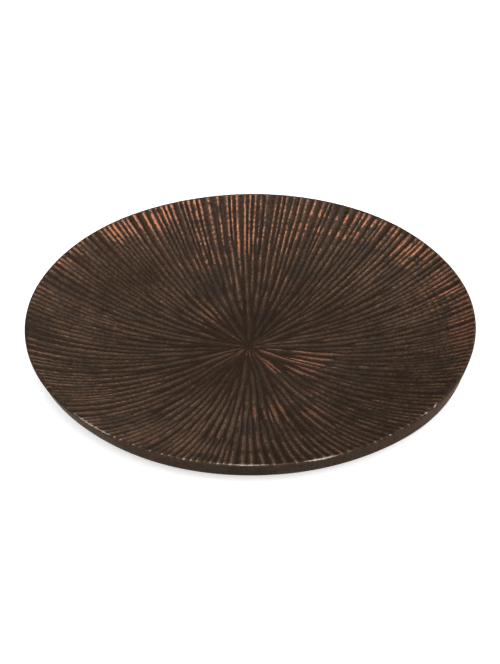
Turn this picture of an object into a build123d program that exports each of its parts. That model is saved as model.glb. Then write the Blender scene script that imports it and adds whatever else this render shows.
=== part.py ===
"""Round serving tray: one thick casting, dished, standing on four felt pads.

Millimetres, +Z up.  The origin is the centre of the tray on the table that the pads stand on.
The tray is a body of revolution about Z: a flat well, a wall that curves up to a thin lip, a
rim face that leans back under the lip, and an underside that follows the wall down to a flat
base.  The pads are glued face to face onto the base.
"""

from math import atan, cos, radians, sin, sqrt, tan
import os

from build123d import *

# ---------------------------------------------------------------- driving dimensions
rim_radius = 150.0  # centre to the outermost point of the lip
dish_depth = 27.0  # lip down to the floor of the well
well_radius = 40.0  # flat middle of the dish
lip_land = 1.5  # level top of the lip, before it is rounded over
lip_rounding = 0.8  # radius along the outer edge of the lip
rim_face_height = 11.6  # lip down to the lower corner of the rim face
rim_face_lean = 25.0  # degrees that the rim face leans in from upright
rim_corner_rounding = 6.0  # radius between the rim face and the underside

floor_thickness = 6.5  # metal under the flat well
wall_thickness = 7.4  # metal half-way up the wall, square to the surface
base_radius = 60.0  # flat of the underside

pad_count = 4
pad_diameter = 18.0
pad_thickness = 2.0
pad_edge_rounding = 0.4  # softened lower edge of the felt
pad_inset = 3.0  # from the edge of the flat base to the edge of a pad

# ---------------------------------------------------------------- worked out from them
base_height = pad_thickness
well_height = base_height + floor_thickness
lip_height = well_height + dish_depth

# the wall is one arc, level where it leaves the well
wall_top_radius = rim_radius - lip_land
wall_run = wall_top_radius - well_radius
wall_turn = 2 * atan(dish_depth / wall_run)
wall_arc_radius = wall_run / sin(wall_turn)

# the sharp corner of the lip lies outside the rim, so that the rounded lip just reaches it
lip_corner_turn = radians(90 + rim_face_lean)
lip_corner_radius = rim_radius + lip_rounding * (tan(lip_corner_turn / 2) - 1)
rim_foot_radius = lip_corner_radius - rim_face_height * tan(radians(rim_face_lean))
rim_foot_height = lip_height - rim_face_height

# the underside passes one wall thickness below the wall, half-way from base to rim foot
half_way_radius = (base_radius + rim_foot_radius) / 2
half_way_run = half_way_radius - well_radius
half_way_rise = wall_arc_radius - sqrt(wall_arc_radius**2 - half_way_run**2)
half_way_slope = atan(half_way_run / (wall_arc_radius - half_way_rise))
under_radius = half_way_radius + wall_thickness * sin(half_way_slope)
under_height = well_height + half_way_rise - wall_thickness * cos(half_way_slope)

pad_ring_radius = base_radius - pad_inset - pad_diameter / 2

os.makedirs("parts", exist_ok=True)

# ---------------------------------------------------------------- tray casting
with BuildPart() as tray_casting:
    with BuildSketch(Plane.XZ) as half_section:
        with BuildLine():
            under_axis = (0, base_height)
            base_edge = (base_radius, base_height)
            rim_foot = (rim_foot_radius, rim_foot_height)
            lip_corner = (lip_corner_radius, lip_height)
            lip_inner = (wall_top_radius, lip_height)
            well_edge = (well_radius, well_height)
            well_axis = (0, well_height)
            Line(under_axis, base_edge)
            ThreePointArc(base_edge, (under_radius, under_height), rim_foot)
            Polyline(rim_foot, lip_corner, lip_inner)
            TangentArc(well_edge, lip_inner, tangent=(1, 0))
            Polyline(well_edge, well_axis, under_axis)
        make_face()
        fillet(half_section.vertices().sort_by_distance(lip_corner)[0], lip_rounding)
        fillet(half_section.vertices().sort_by_distance(rim_foot)[0], rim_corner_rounding)
    revolve(axis=Axis.Z)
tray_casting.part.label = "tray_casting"
export_step(tray_casting.part, "parts/tray_casting.step")

# ---------------------------------------------------------------- felt pads
with PolarLocations(pad_ring_radius, pad_count, start_angle=45) as pad_places:
    pad_centres = [place.position for place in pad_places]

for number, centre in enumerate(pad_centres, start=1):
    with BuildPart() as felt_pad:
        with BuildSketch(Plane.XY.move(Location(centre))):
            Circle(pad_diameter / 2)
        extrude(amount=pad_thickness)
        fillet(felt_pad.edges().sort_by(Axis.Z)[0], pad_edge_rounding)
    felt_pad.part.label = f"felt_pad_{number}"
    export_step(felt_pad.part, f"parts/felt_pad_{number}.step")
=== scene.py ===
"""Looks for a round dished tray: one thick casting with a sunburst of chased ridges, on felt pads."""

import math

import bpy
import numpy as np
from mathutils import Euler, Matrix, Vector


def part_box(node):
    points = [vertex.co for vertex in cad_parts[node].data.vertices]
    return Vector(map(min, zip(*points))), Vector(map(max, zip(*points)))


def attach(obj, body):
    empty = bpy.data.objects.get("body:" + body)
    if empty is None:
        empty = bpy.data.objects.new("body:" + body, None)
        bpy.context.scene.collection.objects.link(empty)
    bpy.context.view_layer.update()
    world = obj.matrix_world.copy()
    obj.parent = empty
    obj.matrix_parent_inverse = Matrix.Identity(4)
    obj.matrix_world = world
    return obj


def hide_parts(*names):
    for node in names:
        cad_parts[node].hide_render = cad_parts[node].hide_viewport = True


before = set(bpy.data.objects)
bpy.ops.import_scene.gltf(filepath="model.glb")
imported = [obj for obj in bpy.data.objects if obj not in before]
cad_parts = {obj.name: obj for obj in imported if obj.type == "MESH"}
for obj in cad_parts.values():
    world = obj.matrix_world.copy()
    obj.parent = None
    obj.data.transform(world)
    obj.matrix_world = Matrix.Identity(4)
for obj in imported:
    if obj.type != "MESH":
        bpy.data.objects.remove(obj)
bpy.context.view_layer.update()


# ---------------------------------------------------------------- camera
# A long lens looks down at the tray from the front, standing a step back from the table.
# It is aimed a little under the middle of the rim, which puts the tray above the picture's middle.

rim_centre = Vector((0.0, 0.0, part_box("tray_casting")[1][2]))
camera_distance = 1.400
camera_height_angle = math.radians(36.83)
camera_lens_mm = 113.9
camera_tilt = math.radians(-0.46)
aim_drop = 0.0121

camera_data = bpy.data.cameras.new("camera")
camera_data.lens = camera_lens_mm
camera_data.sensor_width = 36.0
camera_data.clip_end = 20.0
camera = bpy.data.objects.new("camera", camera_data)
bpy.context.scene.collection.objects.link(camera)
camera_way = Vector((0.0, -math.cos(camera_height_angle), math.sin(camera_height_angle)))
camera.location = rim_centre + camera_distance * camera_way
look = rim_centre - Vector((0.0, 0.0, aim_drop)) - camera.location
turn = look.to_track_quat("-Z", "Y") @ Euler((0.0, 0.0, camera_tilt)).to_quaternion()
camera.rotation_euler = turn.to_euler()
bpy.context.scene.camera = camera
bpy.context.scene.view_settings.view_transform = "Standard"


# ---------------------------------------------------------------- tray casting
# One thick sand casting, dished, with a sunburst of ridges chased into its upper face from the
# centre to the lip.  It is copper coloured under a dark patina, which is rubbed off the high
# spots.  The rim face leans back under the lip and the underside is left as it was cast.

# lengths are in metres throughout, and angles round the tray start at its right side
cast_low, cast_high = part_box("tray_casting")
rim_radius = cast_high[0]
lip_height = cast_high[2]
base_height = cast_low[2]

dish_depth = 0.027
well_radius = 0.040
lip_land = 0.0015
lip_rounding = 0.0008
rim_face_height = 0.0116
rim_face_lean = math.radians(25.0)
corner_cut = 0.0023
wall_thickness = 0.0074
base_radius = 0.060
hub_radius = 0.004
face_steps = 6
corner_steps = 5
wall_steps = 22
flat_steps = 8

well_height = lip_height - dish_depth
wall_top_radius = rim_radius - lip_land
wall_run = wall_top_radius - well_radius
wall_arc_radius = wall_run / math.sin(2 * math.atan(dish_depth / wall_run))


def dish_height(radius):
    """Height of the smooth dish: level out to the well's edge, then one arc that starts level.

    On the arc it is the well's height plus R - sqrt(R**2 - run**2), for the arc's radius R and
    the run from the well's edge.
    """
    run = np.maximum(np.minimum(radius, wall_top_radius) - well_radius, 0.0)
    return well_height + wall_arc_radius - np.sqrt(wall_arc_radius**2 - run**2)


def underside_section():
    """Points down the rim face, round its lower corner and along the underside to the axis.

    The rim face is straight.  The underside is the circle through the edge of the flat base, the
    foot of the rim face and a point one wall thickness under the middle of the wall.  The corner
    between them is a quadratic Bezier curve that starts and ends one corner cut away from it.
    """
    down = np.array([-math.sin(rim_face_lean), -math.cos(rim_face_lean)])
    out = np.array([math.cos(rim_face_lean), -math.sin(rim_face_lean)])
    lip_centre = np.array([rim_radius - lip_rounding, lip_height - lip_rounding])
    face_top = lip_centre + lip_rounding * out
    face_length = (face_top[1] - (lip_height - rim_face_height)) / math.cos(rim_face_lean)
    foot = face_top + face_length * down

    middle = (base_radius + foot[0]) / 2
    slope = math.asin((middle - well_radius) / wall_arc_radius)
    inward = np.array([math.sin(slope), -math.cos(slope)])
    under = np.array([middle, dish_height(middle)]) + wall_thickness * inward
    base_edge = np.array([base_radius, base_height])

    chords = np.array([under - base_edge, foot - base_edge])
    centre = np.linalg.solve(chords, (chords * (chords / 2 + base_edge)).sum(1))
    bow = np.linalg.norm(foot - centre)
    first, last = (math.atan2(*(p - centre)[::-1]) for p in (foot, base_edge))
    angle = np.linspace(first - corner_cut / bow, last, wall_steps)
    wall = centre + bow * np.c_[np.cos(angle), np.sin(angle)]

    face = face_top + np.linspace(0, 1, face_steps)[:, None] * (face_length - corner_cut) * down
    t = np.linspace(0, 1, corner_steps)[1:-1, None]
    corner = (1 - t) ** 2 * face[-1] + 2 * t * (1 - t) * foot + t**2 * wall[0]
    flat_radii = np.linspace(base_radius, hub_radius, flat_steps)[1:]
    flat = np.c_[flat_radii, np.full(flat_radii.size, base_height)]
    return np.vstack([face, corner, wall, flat])


ridge_rng = np.random.default_rng(41)
ridge_depth = 0.00095
ridge_spacing = 0.0056
centre_rays = 36
last_ray_start = 0.022
start_lag = 0.004
last_start = 0.101
pattern_centre = np.array([-0.0012, 0.0036])


def lay_out_ridges():
    """Angle and starting radius of every ridge, in order round the tray.

    A few rays start at or near the centre, evenly but for a random third of a step.  Where two
    neighbours have drawn about one ridge spacing apart, which is at the spacing over the gap in
    radians, a new ridge starts between them, and this is repeated until the wall is full.
    """
    stray = ridge_rng.uniform(-0.36, 0.36, centre_rays)
    angle = (np.arange(centre_rays) + stray) * 2 * np.pi / centre_rays
    start = last_ray_start * ridge_rng.uniform(0.0, 1.0, centre_rays) ** 3
    while True:
        gap = np.diff(np.r_[angle, angle[0] + 2 * np.pi])
        born = ridge_spacing * ridge_rng.uniform(0.85, 1.25, angle.size) / gap
        born = np.maximum(born, np.maximum(start, np.roll(start, -1)) + start_lag)
        fits = born < last_start
        if not fits.any():
            return angle, start
        between = (angle + gap * ridge_rng.uniform(0.44, 0.56, angle.size))[fits]
        angle, start = np.r_[angle, between], np.r_[start, born[fits]]
        order = np.argsort(angle)
        angle, start = angle[order], start[order]


# each ridge's own shape: a ray from the centre is full size within 4 mm, a later ridge within
# 12 to 26 mm, and the thinness is how much of its width it lacks near the centre
ridge_angle, ridge_start = lay_out_ridges()
ridge_count = ridge_angle.size
wander_phase = ridge_rng.uniform(0, 2 * np.pi, (2, ridge_count))
ridge_strength = ridge_rng.uniform(0.76, 1.04, ridge_count)
ridge_width = ridge_rng.uniform(0.0016, 0.0026, ridge_count)
ridge_wear = ridge_rng.uniform(-1.0, 1.0, ridge_count)
ridge_thinness = ridge_rng.uniform(0.30, 0.75, ridge_count)
rise_length = np.where(ridge_start < 0.010, 0.004, ridge_rng.uniform(0.012, 0.026, ridge_count))

# what changes along each ridge: the depth of the tool's strokes, a bead at every ring, and runs
# where it is worn more or its line is polished more
ring_radii = np.r_[np.geomspace(0.0012, 0.0120, 9), np.linspace(0.0133, wall_top_radius, 104)]
stroke_length = 0.0056
stroke_steps = 32
run_length = 0.015
run_steps = 14
stroke_cuts = ridge_rng.uniform(0.0, 1.0, (stroke_steps, ridge_count))
bead_cuts = ridge_rng.uniform(-1.0, 1.0, (ring_radii.size, ridge_count))
wear_runs = ridge_rng.uniform(-1.0, 1.0, (run_steps, ridge_count))
line_runs = ridge_rng.uniform(-1.0, 1.0, (run_steps, ridge_count))


def along_ridge(table, place):
    """Reads a table of one value per step along every ridge.

    Between steps the two values are blended by part**2 * (3 - 2 * part).
    """
    low = int(place)
    part = place - low
    part = part * part * (3 - 2 * part)
    return table[low] * (1 - part) + table[low + 1] * part


def turn_from(angle, degrees):
    """The turn from one angle, the short way round, in radians from -pi to pi."""
    return np.angle(np.exp(1j * (angle - math.radians(degrees))))


def near(angle, degrees, spread):
    """A smooth hump round the tray: exp(-(turn / spread)**2) for the turn from one angle."""
    return np.exp(-((turn_from(angle, degrees) / math.radians(spread)) ** 2))


def close_in(radius, reach):
    """How close a circle is to the centre: exp(-(radius / reach)**2)."""
    return math.exp(-((radius / reach) ** 2))


def crest_angles(radius, wanted):
    """Where the wanted ridges' crests cross a circle: straight rays that wander a little.

    A long wave of 0.13 mm, which grows to 0.51 mm at the centre, where the chasing is least sure,
    and a short one of 0.05 mm are each ridge's own.  A third, of 1 mm, bends neighbours together.
    The sideways shift is made an angle by dividing it by the radius.
    """
    swing = 0.00013 + 0.00038 * close_in(radius, 0.040)
    swing = swing * np.sin(2 * np.pi * radius / 0.052 + wander_phase[0, wanted])
    swing += 0.00005 * np.sin(2 * np.pi * radius / 0.021 + wander_phase[1, wanted])
    shared = 0.0010 * np.sin(3 * ridge_angle[wanted] + radius / 0.035) * min(radius / 0.06, 1.0)
    return ridge_angle[wanted] + (swing + shared) / max(radius, 0.012)


# where hands and polishing have rubbed the patina, and at 228 degrees on the near wall a faint
# painted sheen: angle in degrees, radius, spread round the tray in degrees, spread along the
# radius, and how far it is rubbed
rubbed_and_sheen_places = [
    (10, 0.141, 28, 0.011, 1.50), (12, 0.127, 17, 0.009, 1.08), (30, 0.1480, 34, 0.005, 1.25),
    (45, 0.142, 32, 0.010, 1.45), (46, 0.131, 20, 0.014, 1.15), (64, 0.127, 17, 0.0024, 1.60),
    (66, 0.1388, 13, 0.0024, 1.45), (75, 0.084, 8, 0.012, 0.80), (88, 0.085, 52, 0.036, 0.32),
    (90, 0.149, 92, 0.003, 1.10), (91, 0.121, 35, 0.026, 1.04), (100, 0.138, 30, 0.015, 0.85),
    (110, 0.098, 10, 0.012, 1.00), (116, 0.1485, 20, 0.005, 1.50), (124, 0.141, 13, 0.011, 1.75),
    (126, 0.046, 9, 0.012, 1.25), (148, 0.144, 20, 0.007, 0.75), (150, 0.098, 32, 0.026, 0.72),
    (150, 0.034, 14, 0.014, 0.95), (150, 0.1485, 26, 0.004, 1.25), (180, 0.146, 34, 0.004, 0.70),
    (228, 0.128, 46, 0.030, 0.24), (255, 0.007, 50, 0.005, 1.80), (275, 0.075, 6, 0.018, 1.35),
    (285, 0.074, 6, 0.014, 2.00), (298, 0.083, 6, 0.009, 1.55), (309, 0.023, 20, 0.014, 2.00),
    (312, 0.070, 7, 0.008, 0.90), (320, 0.031, 11, 0.021, 2.30), (335, 0.034, 30, 0.026, 1.85),
    (345, 0.038, 14, 0.026, 2.10),
]

# where the patina was left duller: the same, with how far the ridges are dulled
dull_places = [
    (24, 0.074, 46, 0.036, 0.42), (72, 0.034, 26, 0.018, 0.36), (95, 0.016, 50, 0.016, 0.34),
    (142, 0.108, 28, 0.028, 0.50), (175, 0.026, 50, 0.018, 0.36), (178, 0.075, 44, 0.036, 0.30),
    (190, 0.086, 26, 0.014, 0.22), (224, 0.042, 50, 0.022, 0.42), (232, 0.026, 24, 0.014, 0.40),
    (338, 0.110, 32, 0.024, 0.30),
]

# where the ridges are paler: the patina wiped thinner, and at 258 degrees on the near wall a
# painted sheen along the crests: the same, with how far they are raised
pale_and_sheen_places = [
    (258, 0.132, 30, 0.024, 0.42), (258, 0.110, 34, 0.030, 0.16), (288, 0.070, 18, 0.014, 0.24),
    (310, 0.010, 150, 0.012, 0.62),
]


def rub_here(places, angle, radius):
    """How far the finish is changed at each sample of a circle: the strongest of the places there.

    A place counts for strength * exp(-(turn / spread)**2) * exp(-((radius - middle) / reach)**2).
    """
    rub = np.zeros(angle.size)
    for degrees, middle, spread, reach, strength in places:
        along = np.exp(-((radius - middle) / reach) ** 2)
        rub = np.maximum(rub, strength * near(angle, degrees, spread) * along)
    return rub


# where the chaser cut rows across the ridges: angle and spread in degrees, and radius
row_places = [(66, 24, 0.130), (14, 18, 0.130), (104, 10, 0.122)]
row_pitch = 0.0041
row_reach = 0.016

dent_count = 110
dent_zone = 0.146
dent_shade = 900
dent_gap = 1400
dent_rng = np.random.default_rng(5)
dent_turn = dent_rng.uniform(0, 2 * np.pi, dent_count)
dent_radius = dent_zone * np.sqrt(dent_rng.uniform(0.03, 1.0, dent_count))
dent_reach = dent_rng.uniform(0.0020, 0.0046, dent_count)
dent_depth = dent_rng.uniform(0.00012, 0.00034, dent_count)


def dented(angle, radius):
    """How deep the hammer's dents are at each sample of a circle.

    The deepest of the dents there counts, and each is depth * exp(-(distance / reach)**2).
    """
    across = radius * np.cos(angle)[:, None] - dent_radius * np.cos(dent_turn)
    along = radius * np.sin(angle)[:, None] - dent_radius * np.sin(dent_turn)
    return (dent_depth * np.exp(-(across**2 + along**2) / dent_reach**2)).max(1)


# the six samples of a ridge: the two on a side stand at these shares of its half width, outer
# first, and at these heights, and the polished line runs along the crest alone
side_shares = np.array([0.90, 0.46])
side_heights = np.array([0.24, 0.74])
line_shape = np.array([0.0, 0.30, 1.0, 0.30, 0.0, 0.0])
newborn_size = 0.06
full_width = 0.0034
hollow_level = 0.45
thinnest = 0.30
thin_reach = 0.040
flat_middle = 0.012
lip_fade = 0.006


def ridge_ring(ring):
    """One circle of samples across every ridge that has started.

    Each ridge has six samples: two on its near side, its crest, two on its far side and the
    groove after it.  A groove lies where the gap between two crests is shared out by their sizes,
    so a new ridge starts as a thin line and pushes its neighbours aside as it grows.  A ridge is
    as wide as its own width or most of its room, whichever is less, and near the centre some are
    thinner and lower than others.  The crest's height falls with the strokes of the tool, the
    rows cut across it and the dull places, and rises and falls with the small hammered beads.
    Returns a key that grows round the ring in step with the other rings, and the angle, relief,
    crest mask, crest line and rub mask of each sample.
    """
    radius = ring_radii[ring]
    wanted = np.flatnonzero(ridge_start < radius)
    crest = crest_angles(radius, wanted)
    risen = np.clip((radius - ridge_start[wanted]) / rise_length[wanted], 0, 1)
    size = newborn_size + (1 - newborn_size) * risen * risen * (3 - 2 * risen)
    groove = crest + (np.r_[crest[1:], crest[0] + 2 * np.pi] - crest) * size / (size + np.roll(size, -1))
    groove_before = np.r_[groove[-1] - 2 * np.pi, groove[:-1]]

    rows = sum(near(crest, degrees, spread) * close_in(radius - middle, row_reach)
               for degrees, spread, middle in row_places)
    rows = rows * (0.5 + 0.5 * math.cos(2 * np.pi * radius / row_pitch))
    bead = bead_cuts[ring, wanted]
    stroke = along_ridge(stroke_cuts, radius / stroke_length)[wanted]
    uneven = 1.0 - (ridge_thinness[wanted] - thinnest) * close_in(radius, 0.045)
    top = ridge_strength[wanted] * (1.0 - 0.18 * stroke + 0.10 * bead - 0.26 * rows)
    top = top * uneven * (1.0 - 0.6 * rub_here(dull_places, crest, radius))
    width = ridge_width[wanted] * size * (1.0 + 0.07 * bead)
    share = 0.95 * (1.0 - ridge_thinness[wanted] * close_in(radius, thin_reach))
    before = np.minimum(width, share * (crest - groove_before) * radius)
    after = np.minimum(width, share * (groove - crest) * radius)
    depth = np.clip((before + after) / full_width, 0, 1) * size

    angle = np.c_[crest[:, None] - side_shares * before[:, None] / radius, crest,
                  crest[:, None] + side_shares[::-1] * after[:, None] / radius, groove]
    height = top[:, None] * np.r_[side_heights, 1.0, side_heights[::-1], 0.0]
    near_lip = np.clip((rim_radius - radius) / lip_fade, 0.0, 1.0)
    fade = min(radius / flat_middle, 1.0) * (0.5 + 0.5 * near_lip)
    around = angle.ravel()
    dent = dented(around, radius)
    relief = ridge_depth * fade * (depth[:, None] * height - hollow_level).ravel() - dent

    # the finish: the crest mask is the relief as the wiping cloth meets it, the line is the
    # polished crest, and the cloth misses both in the hammer's dents; the paler places on the near
    # wall add painted sheen to both
    run = radius / run_length
    mark_strength = 0.88 + 0.13 * ridge_wear[wanted] + 0.16 * along_ridge(wear_runs, run)[wanted]
    rub = np.broadcast_to(mark_strength[:, None], angle.shape).ravel() * rub_here(rubbed_and_sheen_places, around, radius)
    bright = 1 - rub_here(dull_places, around, radius) + rub_here(pale_and_sheen_places, around, radius)
    calm = 1 - 0.10 * close_in(radius, 0.048)
    mask = calm * bright * (height * np.clip(depth[:, None] * 1.3, 0, 1)).ravel() - dent_shade * dent
    clear = 1 - 0.30 * close_in(radius, 0.070)
    drawn = 0.84 + 0.26 * along_ridge(line_runs, run)[wanted] - 0.70 * rows + 0.10 * bead
    line = (clear * uneven * np.clip(drawn, 0.0, 1.1) * size)[:, None] * line_shape
    line = np.maximum(bright * line.ravel() - dent_gap * dent, 0.0)

    start = ridge_angle[wanted][:, None]
    half = np.diff(np.r_[start[:, 0], start[0] + 2 * np.pi])[:, None] / 2
    key = np.c_[start - np.roll(half, 1, 0) * [0.66, 0.33], start, start + half * [0.33, 0.66, 1.0]]
    key = np.mod(key.ravel(), 2 * np.pi)
    order = np.argsort(key)
    return [part[order] for part in (key, around, relief, mask, line, rub)]


def zip_rings(inner, outer, inner_first, outer_first):
    """Triangles between two rings with any number of samples each.

    Every edge of one ring is joined to the sample that the other ring has reached when both are
    walked together in order of the keys of their edges' middles.
    """
    def middles(ring):
        """The key of every edge's middle."""
        return (ring + np.r_[ring[1:], ring[0] + 2 * np.pi]) / 2

    n, m = inner.size, outer.size
    key_in, key_out = middles(inner), middles(outer)
    reach_out = np.searchsorted(key_out, key_in, side="left") % m
    reach_in = np.searchsorted(key_in, key_out, side="right") % n
    i, j = np.arange(n), np.arange(m)
    inner_faces = np.c_[inner_first + i, outer_first + reach_out, inner_first + (i + 1) % n]
    outer_faces = np.c_[outer_first + j, outer_first + (j + 1) % m, inner_first + reach_in]
    return np.vstack([inner_faces, outer_faces])


# the rim's waves: turns round the tray, height and where they start
rim_waves = [(2, 0.00022, 0.6), (5, 0.00016, 2.1), (9, 0.00010, 0.0)]


def rim_shift(angle):
    """How far the hand-cut rim strays outwards and upwards from a true circle.

    Outwards it is sine waves round the tray added up, less one flat of 0.9 mm at the near left.
    Upwards it is one long sag of 1.3 mm at the near right.
    """
    out = sum(height * np.sin(turns * angle + start) for turns, height, start in rim_waves)
    out -= 0.0009 * near(angle, 213, 24)
    up = -0.0013 * near(angle, 300, 30)
    return out, up


chip_degrees = 319.5
chip_depth = 0.0010
chip_edge = 0.024


def chipped(angle):
    """How far the lip is knocked down: one clear chip and two places where it is worn flat.

    The chip's depth falls in a straight line from 0.6 to 1.6 edge widths from its middle.
    """
    from_chip = np.abs(turn_from(angle, chip_degrees)) / chip_edge
    chip = chip_depth * np.clip(1.6 - from_chip, 0, 1)
    return chip + 0.00022 * near(angle, 289, 5) + 0.00015 * near(angle, 268, 6)


skin_rng = np.random.default_rng(19)
skin_waves = 26
skin_height = 0.00006
skin_turn = skin_rng.uniform(0, np.pi, skin_waves)
skin_length = skin_rng.uniform(0.013, 0.050, skin_waves)
skin_phase = skin_rng.uniform(0, 2 * np.pi, skin_waves)


def cast_skin(angle, radius):
    """How far the cast skin rises at each sample of a circle.

    Plane waves in random directions are added up, each as high as its length over 30 mm makes it.
    The sum is faded out at the flat base, where the pads sit, and towards the lip.
    """
    x, y = radius * np.cos(angle)[:, None], radius * np.sin(angle)[:, None]
    along = x * np.cos(skin_turn) + y * np.sin(skin_turn)
    waves = np.sin(2 * np.pi * along / skin_length + skin_phase)
    share = np.clip((radius - base_radius) / 0.008, 0, 1)
    share = share * np.clip((rim_radius - 0.006 - radius) / 0.012, 0, 1)
    return skin_height * share * (waves * skin_length / 0.03).sum(1)


lip_steps = 5
lip_zone = 0.004
lip_share = 0.4
lip_drop = 0.0001
lip_wear = 1.0
lip_line = 0.45
even_from = 3
even_samples = 352
cast_mark = -0.5

# where the rim face is thicker below the lip: angle and spread in degrees, and how much
thick_places = [(262, 48, 0.0015), (326, 22, 0.0030)]


def casting_rings():
    """Every ring of the casting, from the middle of the dish over the lip to the hub of the base.

    A ring is its keys, angles, radii, heights, crest mask, crest line and rub mask.  On the dish
    the relief stands square to the wall's slope.  Over the lip, which is a quarter turn and the
    rim face's lean round one small circle, the relief and the masks die away in even steps.
    Below the lip the samples are evenly spaced, the crest mask holds the mark of the cast finish,
    and the rim face is thicker and more upright towards the front right, as the mould was.
    """
    rings = []
    for ring, radius in enumerate(ring_radii):
        key, angle, relief, crest, line, rub = ridge_ring(ring)
        slope = math.asin(max(radius - well_radius, 0.0) / wall_arc_radius)
        out, up = (shift * (radius / rim_radius) ** 3 for shift in rim_shift(angle))
        height = dish_height(radius) + relief * math.cos(slope) + up
        if radius > rim_radius - lip_zone:
            height = np.minimum(height, lip_height + up - chipped(angle))
        rings.append((key, angle, radius + out - relief * math.sin(slope), height, crest, line, rub))

    lip_relief = ridge_depth * 0.5 * (crest - 0.6)
    lip_rub = 0.8 * rub_here(rubbed_and_sheen_places, angle, wall_top_radius)
    out, up = rim_shift(angle)
    full = 1 / lip_share
    for share, lip_turn in zip(np.linspace(lip_share, 0.0, lip_steps),
                               np.linspace(math.radians(80), -rim_face_lean, lip_steps)):
        stand = lip_rounding + share * lip_relief
        radius = rim_radius - lip_rounding + stand * math.cos(lip_turn) + out
        height = lip_height - lip_rounding + stand * math.sin(lip_turn) + up
        height = np.minimum(height, lip_height + up - chipped(angle) - lip_drop * (1 - share))
        rings.append((key, angle, radius, height, np.maximum(crest, lip_wear) * share,
                      np.maximum(line, lip_line) * full * share, lip_rub * full * share))

    for place, (radius, height) in enumerate(underside_section()[1:], 1):
        if place == even_from:
            key = angle = np.linspace(0, 2 * np.pi, even_samples, endpoint=False)
            out, up = rim_shift(angle)
        below = min((lip_height - height) / rim_face_height, 1.0)
        below = below * min(max((radius - 0.100) / 0.040, 0.0), 1.0)
        thick = sum(size * near(angle, degrees, spread) for degrees, spread, size in thick_places)
        upright = 0.0014 * near(angle, 326, 24)
        share = (radius / rim_radius) ** 3
        none = np.zeros(angle.size)
        rings.append((key, angle, radius + out * share + below * upright,
                      height + up * share - below * thick + cast_skin(angle, radius),
                      none + cast_mark, none, none))
    return rings


# where the lip shows bare metal through the finish and, along its near side, a painted highlight:
# angle and spread in degrees, how strong it is, and how much of that is only on the ridges' ends
bare_and_highlight_places = [
    (228, 7, 3.60, 0.85), (250, 12, 1.00, 0.85), (269, 8, 1.15, 0.45), (287, 5, 1.00, 0.00),
    (306, 9, 0.90, 0.70), (chip_degrees, 2.6, 1.20, 0.00),
]
slightly_worn = 0.06
lip_mark_inset = 0.0006
lip_mark_width = 0.0012
lip_mark_drop = 0.0002
lip_mark_depth = 0.0008
centre_sink = 0.0001


def casting_mesh(name):
    """Joins the rings by zipped triangles, closes both ends with a fan, and stores the masks.

    The sunburst's centre is drawn off the axis by a share that falls in a straight line from 1 on
    the axis to 0 at the rim.  The bare-and-highlight mask, bare metal and a painted highlight along
    the lip, is the product of two humps across the lip, each exp(-(distance / reach)**2), and of
    how strong that part of the lip is.
    """
    rings = casting_rings()
    first = np.cumsum([0] + [ring[0].size for ring in rings])
    angle, radius, height, crest, line, rub = (
        np.concatenate([ring[k] for ring in rings]) for k in range(1, 7))
    drift = np.clip(1 - radius / rim_radius, 0, 1)
    drift[first[ring_radii.size]:] = 0
    points = np.c_[radius * np.cos(angle) + pattern_centre[0] * drift,
                   radius * np.sin(angle) + pattern_centre[1] * drift, height]
    middle = np.r_[pattern_centre, dish_height(0.0) - centre_sink]
    points = np.vstack([points, middle, [0.0, 0.0, base_height]])

    faces = [zip_rings(inner[0], outer[0], first[k], first[k + 1])
             for k, (inner, outer) in enumerate(zip(rings, rings[1:]))]
    n, m = rings[0][0].size, rings[-1][0].size
    i, j = np.arange(n), np.arange(m)
    faces.append(np.c_[np.full(n, first[-1]), i, (i + 1) % n])
    faces.append(np.c_[first[-2] + (j + 1) % m, first[-2] + j, np.full(m, first[-1] + 1)])
    faces = np.vstack(faces)

    mesh = bpy.data.meshes.new(name)
    mesh.vertices.add(len(points))
    mesh.vertices.foreach_set("co", points.ravel())
    mesh.loops.add(faces.size)
    mesh.loops.foreach_set("vertex_index", faces.ravel().astype(np.int32))
    mesh.polygons.add(len(faces))
    mesh.polygons.foreach_set("loop_start", np.arange(0, faces.size, 3, dtype=np.int32))
    mesh.polygons.foreach_set("use_smooth", np.ones(len(faces), dtype=bool))
    mesh.update(calc_edges=True)
    mesh.validate()

    out, up = rim_shift(angle)
    inside = (radius - out - rim_radius + lip_mark_inset) / lip_mark_width
    below = (height - up - lip_height + lip_mark_drop) / lip_mark_depth
    lip = np.exp(-(inside**2) - below**2)
    polished = np.clip(line, 0, 1) ** 2
    mark_strength = slightly_worn + sum(strength * near(angle, degrees, spread) * (1 - ends + ends * polished)
                               for degrees, spread, strength, ends in bare_and_highlight_places)
    for mask, values in (("crest", crest), ("line", line), ("rub", rub), ("bare_and_highlight", lip * mark_strength)):
        mesh.attributes.new(mask, "FLOAT", "POINT").data.foreach_set("value", np.r_[values, 0, 0])
    return mesh


tray = bpy.data.objects.new("tray_casting_chased", casting_mesh("tray_casting_chased"))
bpy.context.scene.collection.objects.link(tray)
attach(tray, "root")
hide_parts("tray_casting")


def add_node(tree, kind, **sockets):
    """A node of one kind with its inputs set, or linked where the value is another's output.

    An input is named, with _ for a space, or numbered, as i0 is for the first.
    """
    node = tree.nodes.new("ShaderNode" + kind)
    for name, value in sockets.items():
        socket = node.inputs[int(name[1:])] if name[1:].isdigit() else node.inputs[name.replace("_", " ")]
        if isinstance(value, bpy.types.NodeSocket):
            tree.links.new(value, socket)
        else:
            socket.default_value = value
    return node


def sums(tree, operation, a, b=0.0):
    """One math node's result."""
    node = add_node(tree, "Math", i0=a, i1=b)
    node.operation = operation
    return node.outputs[0]


def total(tree, *terms):
    """Adds up values, each given alone or with the number that it is multiplied by."""
    result = None
    for term in terms:
        value = sums(tree, "MULTIPLY", *term) if isinstance(term, tuple) else term
        result = value if result is None else sums(tree, "ADD", result, value)
    return result


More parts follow.
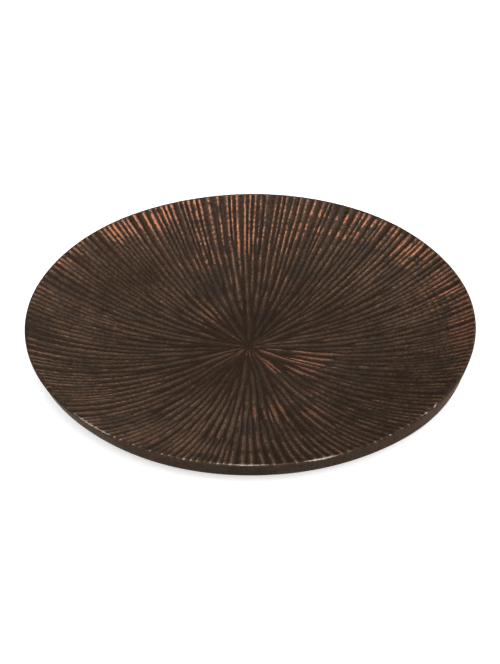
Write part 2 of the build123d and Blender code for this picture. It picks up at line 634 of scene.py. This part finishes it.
def ramp(tree, value, low, high, to_low=0.0, to_high=1.0):
    """Maps low..high smoothly onto to_low..to_high."""
    node = add_node(tree, "MapRange", Value=value, From_Min=low, From_Max=high,
                    To_Min=to_low, To_Max=to_high)
    node.interpolation_type = "SMOOTHSTEP"
    return node.outputs["Result"]


def blend(tree, share, a, b):
    """Mixes two colours by a share."""
    node = tree.nodes.new("ShaderNodeMix")
    node.data_type = "RGBA"
    for socket, value in ((node.inputs["Factor"], share), (node.inputs[6], a), (node.inputs[7], b)):
        if isinstance(value, bpy.types.NodeSocket):
            tree.links.new(value, socket)
        else:
            socket.default_value = value
    return node.outputs[2]


def scaled(tree, vector, by):
    """A vector or colour times a number."""
    node = add_node(tree, "VectorMath", i0=vector, i3=by)
    node.operation = "SCALE"
    return node.outputs[0]


def vectors(tree, operation, a, b=(0.0, 0.0, 0.0)):
    """One vector math node that works on one vector or two."""
    node = add_node(tree, "VectorMath", i0=a, i1=b)
    node.operation = operation
    return node


def noise(tree, place, scale, detail=2.0, roughness=0.5):
    """A noise texture's value at a place."""
    node = add_node(tree, "TexNoise", Vector=place, Scale=scale, Detail=detail, Roughness=roughness)
    return node.outputs["Fac"]


def ray_space(tree, place, across, along):
    """A place whose steps are finer round the tray than along its radius.

    The direction from the axis is scaled by across and the radius by along, so a texture read
    here makes streaks that follow the ridges, with no seam.
    """
    level = vectors(tree, "MULTIPLY", place, (1.0, 1.0, 0.0)).outputs[0]
    unit = vectors(tree, "NORMALIZE", level).outputs[0]
    radius = vectors(tree, "LENGTH", level).outputs["Value"]
    lift = add_node(tree, "CombineXYZ", Z=sums(tree, "MULTIPLY", radius, along)).outputs[0]
    return vectors(tree, "ADD", scaled(tree, unit, across), lift).outputs[0]


groove_brown = (0.0310, 0.0185, 0.0122, 1)
band_brown = (0.066, 0.0400, 0.0268, 1)
crest_brown = (0.184, 0.116, 0.080, 1)
sooty_brown = (0.042, 0.0310, 0.0240, 1)
kept_brown = (0.034, 0.0255, 0.0205, 1)
cast_brown = (0.0134, 0.0110, 0.0098, 1)
cast_light = (0.0300, 0.0238, 0.0202, 1)
bronze = (0.200, 0.096, 0.061, 1)
rose_copper = (0.245, 0.100, 0.069, 1)
gold_copper = (0.325, 0.127, 0.053, 1)
bare_metal_and_highlight = (0.34, 0.285, 0.230, 1)
edge_tint = (0.68, 0.59, 0.53, 1)

copper = bpy.data.materials.new("antique_copper")
copper.use_nodes = True
tree = copper.node_tree
shader = tree.nodes["Principled BSDF"]
place = add_node(tree, "TexCoord").outputs["Object"]
masks = []
for name in ("crest", "line", "rub", "bare_and_highlight"):
    attribute = add_node(tree, "Attribute")
    attribute.attribute_name = name
    masks.append(attribute.outputs["Fac"])
crest, line, rub, bare_and_highlight = masks

# the grain of the surface: streaks, scratches and beads along the ridges, then blotches from
# coarse to fine, and a copper hue that is a little more golden towards the back
streaks = noise(tree, ray_space(tree, place, 60.0, 110.0), 1.0, 3.0, 0.6)
scratches = noise(tree, ray_space(tree, place, 190.0, 90.0), 1.0, 2.0, 0.6)
beads = noise(tree, ray_space(tree, place, 90.0, 520.0), 1.0, 2.0, 0.5)
mottle = noise(tree, place, 38.0, 4.0, 0.60)
patches = noise(tree, place, 120.0, 2.0, 0.5)
backward = add_node(tree, "SeparateXYZ", Vector=place).outputs["Y"]
hue = total(tree, noise(tree, place, 88.0, 2.0, 0.5), (backward, 0.7), -0.08)
speckle = noise(tree, place, 720.0, 3.0, 0.65)
grain = noise(tree, place, 1900.0, 2.0, 0.6)

# the patina: darkest in the grooves, sooty or thick in patches, and paler along the crests,
# where the polished line breaks up into streaks and beads that carry painted glints
fine = total(tree, (streaks, 0.45), (beads, 0.45), (scratches, 0.50), -0.70)
tone = total(tree, crest, fine)
sooty = ramp(tree, mottle, 0.48, 0.66)
kept = ramp(tree, patches, 0.58, 0.70)
band = blend(tree, sooty, band_brown, sooty_brown)
patina = blend(tree, ramp(tree, tone, 0.00, 0.60), groove_brown, band)
level = sums(tree, "MULTIPLY", line, ramp(tree, mottle, 0.46, 0.64, 1.0, 0.45))
# painted glints: bright flecks on the crest line where the streaks and beads run high
glint_specks = sums(tree, "MAXIMUM", ramp(tree, streaks, 0.56, 0.70), ramp(tree, beads, 0.58, 0.72))
crest_glints = sums(tree, "MULTIPLY", line, glint_specks)
drawn = total(tree, (level, 0.78), (crest_glints, 0.38), (crest, 0.25), fine, -0.03)
patina = blend(tree, ramp(tree, drawn, 0.36, 1.06), patina, blend(tree, sooty, crest_brown, band_brown))
patina = blend(tree, sums(tree, "MULTIPLY", kept, 0.7), patina, kept_brown)

# below the lip the crest mask is negative, and the finish there is the dark skin of the casting
cast = ramp(tree, crest, -0.40, -0.10, 1.0, 0.0)
cast_share = ramp(tree, total(tree, (mottle, 0.6), (speckle, 0.5)), 0.40, 0.72)
cast_tone = blend(tree, cast_share, cast_brown, cast_light)
patina = blend(tree, cast, patina, cast_tone)

# wear takes the crests to bronze and then to copper, most of all in the rubbed places, and on
# the lip it takes the bare places to the metal itself, which along the near side is also a painted
# highlight
rubbed = sums(tree, "MULTIPLY", rub, ramp(tree, line, 0.0, 0.32, 0.5, 1.0))
wear = total(tree, drawn, (rubbed, 0.95), (speckle, 0.60), (mottle, -0.50), (kept, -0.55), -0.08)
bronze_share = ramp(tree, wear, 0.94, 1.30)
copper_share = ramp(tree, wear, 1.18, 1.62)
rubbed_copper = blend(tree, ramp(tree, hue, 0.42, 0.58), rose_copper, gold_copper)
colour = blend(tree, copper_share, blend(tree, bronze_share, patina, bronze), rubbed_copper)
# painted highlight: on the near side of the lip this bare-metal colour also stands in for the light its
# rounded edge catches
bare_and_highlight_wear = total(tree, bare_and_highlight, (streaks, 0.35), (speckle, 0.45), (crest, 0.35))
bare_and_highlight_share = ramp(tree, bare_and_highlight_wear, 1.00, 1.35)
colour = blend(tree, bare_and_highlight_share, colour, bare_metal_and_highlight)

# last, everything is flecked a third darker to a third lighter
fleck = ramp(tree, total(tree, (speckle, 0.6), (beads, 0.5)), 0.33, 0.77, 0.66, 1.34)
colour = scaled(tree, colour, fleck)
metal_share = sums(tree, "MAXIMUM", copper_share, bare_and_highlight_share)

# worn metal and the painted lip highlight are smoother, and the sandy skin of the casting is deepest in
# the bump
tree.links.new(colour, shader.inputs["Base Color"])
metallic = ramp(tree, sums(tree, "MAXIMUM", metal_share, cast), 0.0, 0.6, 0.75, 1.0)
tree.links.new(metallic, shader.inputs["Metallic"])
tree.links.new(ramp(tree, metal_share, 0.0, 1.0, 0.50, 0.40), shader.inputs["Roughness"])
sand = sums(tree, "MULTIPLY", noise(tree, place, 1050.0, 3.0, 0.6), cast)
height = total(tree, (grain, 0.3), (beads, 0.8), (speckle, 0.5), (sand, 1.8))
bump = add_node(tree, "Bump", Strength=0.6, Distance=0.00018, Height=height)
tree.links.new(bump.outputs["Normal"], shader.inputs["Normal"])
shader.inputs["Specular IOR Level"].default_value = 0.1
shader.inputs["Specular Tint"].default_value = edge_tint
tray.data.materials.append(copper)


# ---------------------------------------------------------------- felt pads
# Four round pads cut from pressed wool felt and glued under the flat base, near its edge.
# They keep the bare casting off the table.  A cut edge is a little furry and never quite round.

pad_edge_rounding = 0.0004
pad_around = 96
pad_across = 14
pad_waves = (2, 5, 11)
pad_waviness = 0.010
pad_trim = 0.012
fuzz_out = 0.00005
fuzz_up = 0.00003
pad_rng = np.random.default_rng(7)


def felt_pad_mesh(name, low, high):
    """A disc whose radius and height vary with the felt.

    The section runs along the top, round the rounded edge and along the bottom, which mirrors
    the top.  The radius is less by the trim and has three sine waves round the pad, each as high
    as the waviness over its number of turns.  Outer points stray by a random hair's breadth, and
    so do the bottom ones, upwards only.
    """
    centre, radius, thick = (low + high) / 2, (high[0] - low[0]) / 2, high[2] - low[2]
    edge, inner = pad_edge_rounding, radius - pad_edge_rounding
    turn = np.linspace(math.pi / 2, 0, 5)
    top = np.c_[np.linspace(0.12, 0.97, pad_across) * inner, np.full(pad_across, thick)]
    top = np.vstack([top, np.c_[inner + edge * np.cos(turn), thick - edge * (1 - np.sin(turn))]])
    side = np.c_[np.full(3, radius), np.linspace(thick - edge, edge, 5)[1:-1]]
    section = np.vstack([top, side, np.c_[top[::-1, 0], thick - top[::-1, 1]]])

    angle = np.linspace(0, 2 * np.pi, pad_around, endpoint=False)
    phase = pad_rng.uniform(0, 2 * np.pi, 3)
    wave = sum(pad_waviness / k * np.sin(k * angle + p) for k, p in zip(pad_waves, phase))
    reach, level = section[:, :1], section[:, 1:]
    out = reach * (1 + (wave - pad_trim) * (reach / radius) ** 2)
    fuzz = pad_rng.uniform(-1, 1, (2, len(section), pad_around))
    out = out + fuzz_out * fuzz[0] * (reach > 0.5 * inner)
    tall = low[2] + (level + np.where(level < thick / 2, fuzz_up + fuzz_up * fuzz[1], 0.0))
    points = np.stack([centre[0] + out * np.cos(angle), centre[1] + out * np.sin(angle), tall], -1)
    middles = [[*centre[:2], high[2]], [*centre[:2], low[2] + fuzz_up]]
    points = np.vstack([points.reshape(-1, 3), middles])

    rows = len(section)
    i, j = np.meshgrid(np.arange(rows - 1), np.arange(pad_around), indexing="ij")
    corner = i * pad_around + j
    beside = i * pad_around + (j + 1) % pad_around
    quads = np.stack([corner, corner + pad_around, beside + pad_around, beside], -1).reshape(-1, 4)
    j = np.arange(pad_around)
    last = (rows - 1) * pad_around
    beside = (j + 1) % pad_around
    fans = np.vstack([np.c_[np.full(pad_around, len(points) - 2), j, beside],
                      np.c_[np.full(pad_around, len(points) - 1), last + beside, last + j]])
    mesh = bpy.data.meshes.new(name)
    mesh.from_pydata(points.tolist(), [], quads.tolist() + fans.tolist())
    mesh.polygons.foreach_set("use_smooth", np.ones(len(mesh.polygons), dtype=bool))
    mesh.update()
    return mesh


felt_dark = (0.016, 0.0135, 0.0115, 1)
felt_light = (0.070, 0.060, 0.050, 1)

felt = bpy.data.materials.new("felt")
felt.use_nodes = True
tree = felt.node_tree
shader = tree.nodes["Principled BSDF"]
place = add_node(tree, "TexCoord").outputs["Object"]

# long fine hairs that lie both ways, and soft tufts
lengthways = vectors(tree, "MULTIPLY", place, (1.0, 0.35, 1.0)).outputs[0]
crossways = vectors(tree, "MULTIPLY", place, (0.35, 1.0, 1.0)).outputs[0]
hairs = sums(tree, "MAXIMUM", noise(tree, lengthways, 4200.0, 2.0, 0.6),
             noise(tree, crossways, 3600.0, 2.0, 0.6))
tufts = noise(tree, place, 620.0, 3.0, 0.6)
fleck = ramp(tree, total(tree, (hairs, 0.7), (tufts, 0.5)), 0.52, 0.85)
tree.links.new(blend(tree, fleck, felt_dark, felt_light), shader.inputs["Base Color"])
height = total(tree, (hairs, 0.8), (tufts, 0.6))
bump = add_node(tree, "Bump", Strength=0.9, Distance=0.00015, Height=height)
tree.links.new(bump.outputs["Normal"], shader.inputs["Normal"])
shader.inputs["Roughness"].default_value = 0.95
shader.inputs["Specular IOR Level"].default_value = 0.15
shader.inputs["Sheen Weight"].default_value = 0.25
shader.inputs["Sheen Roughness"].default_value = 0.5

for number in range(1, 5):
    low, high = (np.array(corner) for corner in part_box(f"felt_pad_{number}"))
    pad = bpy.data.objects.new(f"felt_disc_{number}", felt_pad_mesh(f"felt_disc_{number}", low, high))
    bpy.context.scene.collection.objects.link(pad)
    pad.data.materials.append(felt)
    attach(pad, "root")
    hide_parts(f"felt_pad_{number}")


# ---------------------------------------------------------------- table
# A plain white top under soft studio light: a large lamp overhead, a narrow one above the
# camera, a small low one far back on the right, and pale walls all round.

table_reach = 6.0
table_corners = [(x * table_reach, y * table_reach, 0) for x, y in ((-1, -1), (1, -1), (1, 1), (-1, 1))]
table_mesh = bpy.data.meshes.new("table")
table_mesh.from_pydata(table_corners, [], [(0, 1, 2, 3)])
table = bpy.data.objects.new("table", table_mesh)
bpy.context.scene.collection.objects.link(table)
white = bpy.data.materials.new("table_white")
white.use_nodes = True
top_shader = white.node_tree.nodes["Principled BSDF"]
top_shader.inputs["Base Color"].default_value = (0.9, 0.9, 0.9, 1)
top_shader.inputs["Roughness"].default_value = 0.9
top_shader.inputs["Specular IOR Level"].default_value = 0.1
top_shader.inputs["Emission Color"].default_value = (1, 1, 1, 1)
top_shader.inputs["Emission Strength"].default_value = 0.50
table_mesh.materials.append(white)

world = bpy.data.worlds.new("studio")
world.use_nodes = True
world.node_tree.nodes["Background"].inputs["Color"].default_value = (1, 1, 1, 1)
world.node_tree.nodes["Background"].inputs["Strength"].default_value = 0.42
bpy.context.scene.world = world


def soft_lamp(name, place, aim, width, depth, watts):
    """A rectangular area lamp that faces a point."""
    lamp = bpy.data.lights.new(name, "AREA")
    lamp.shape = "RECTANGLE"
    lamp.size, lamp.size_y, lamp.energy = width, depth, watts
    holder = bpy.data.objects.new(name, lamp)
    holder.location = place
    holder.rotation_euler = (Vector(aim) - Vector(place)).to_track_quat("-Z", "Y").to_euler()
    bpy.context.scene.collection.objects.link(holder)


soft_lamp("overhead", (0.0, 0.10, 1.5), (0.0, 0.0, 0.0), 1.3, 1.1, 14.5)
soft_lamp("back", (0.95, 1.55, 0.50), (0.0, 0.0, 0.0), 0.9, 0.6, 6)
soft_lamp("front", (0.10, -1.42, 1.24), (0.0, 0.0, 0.0), 0.80, 0.34, 24)
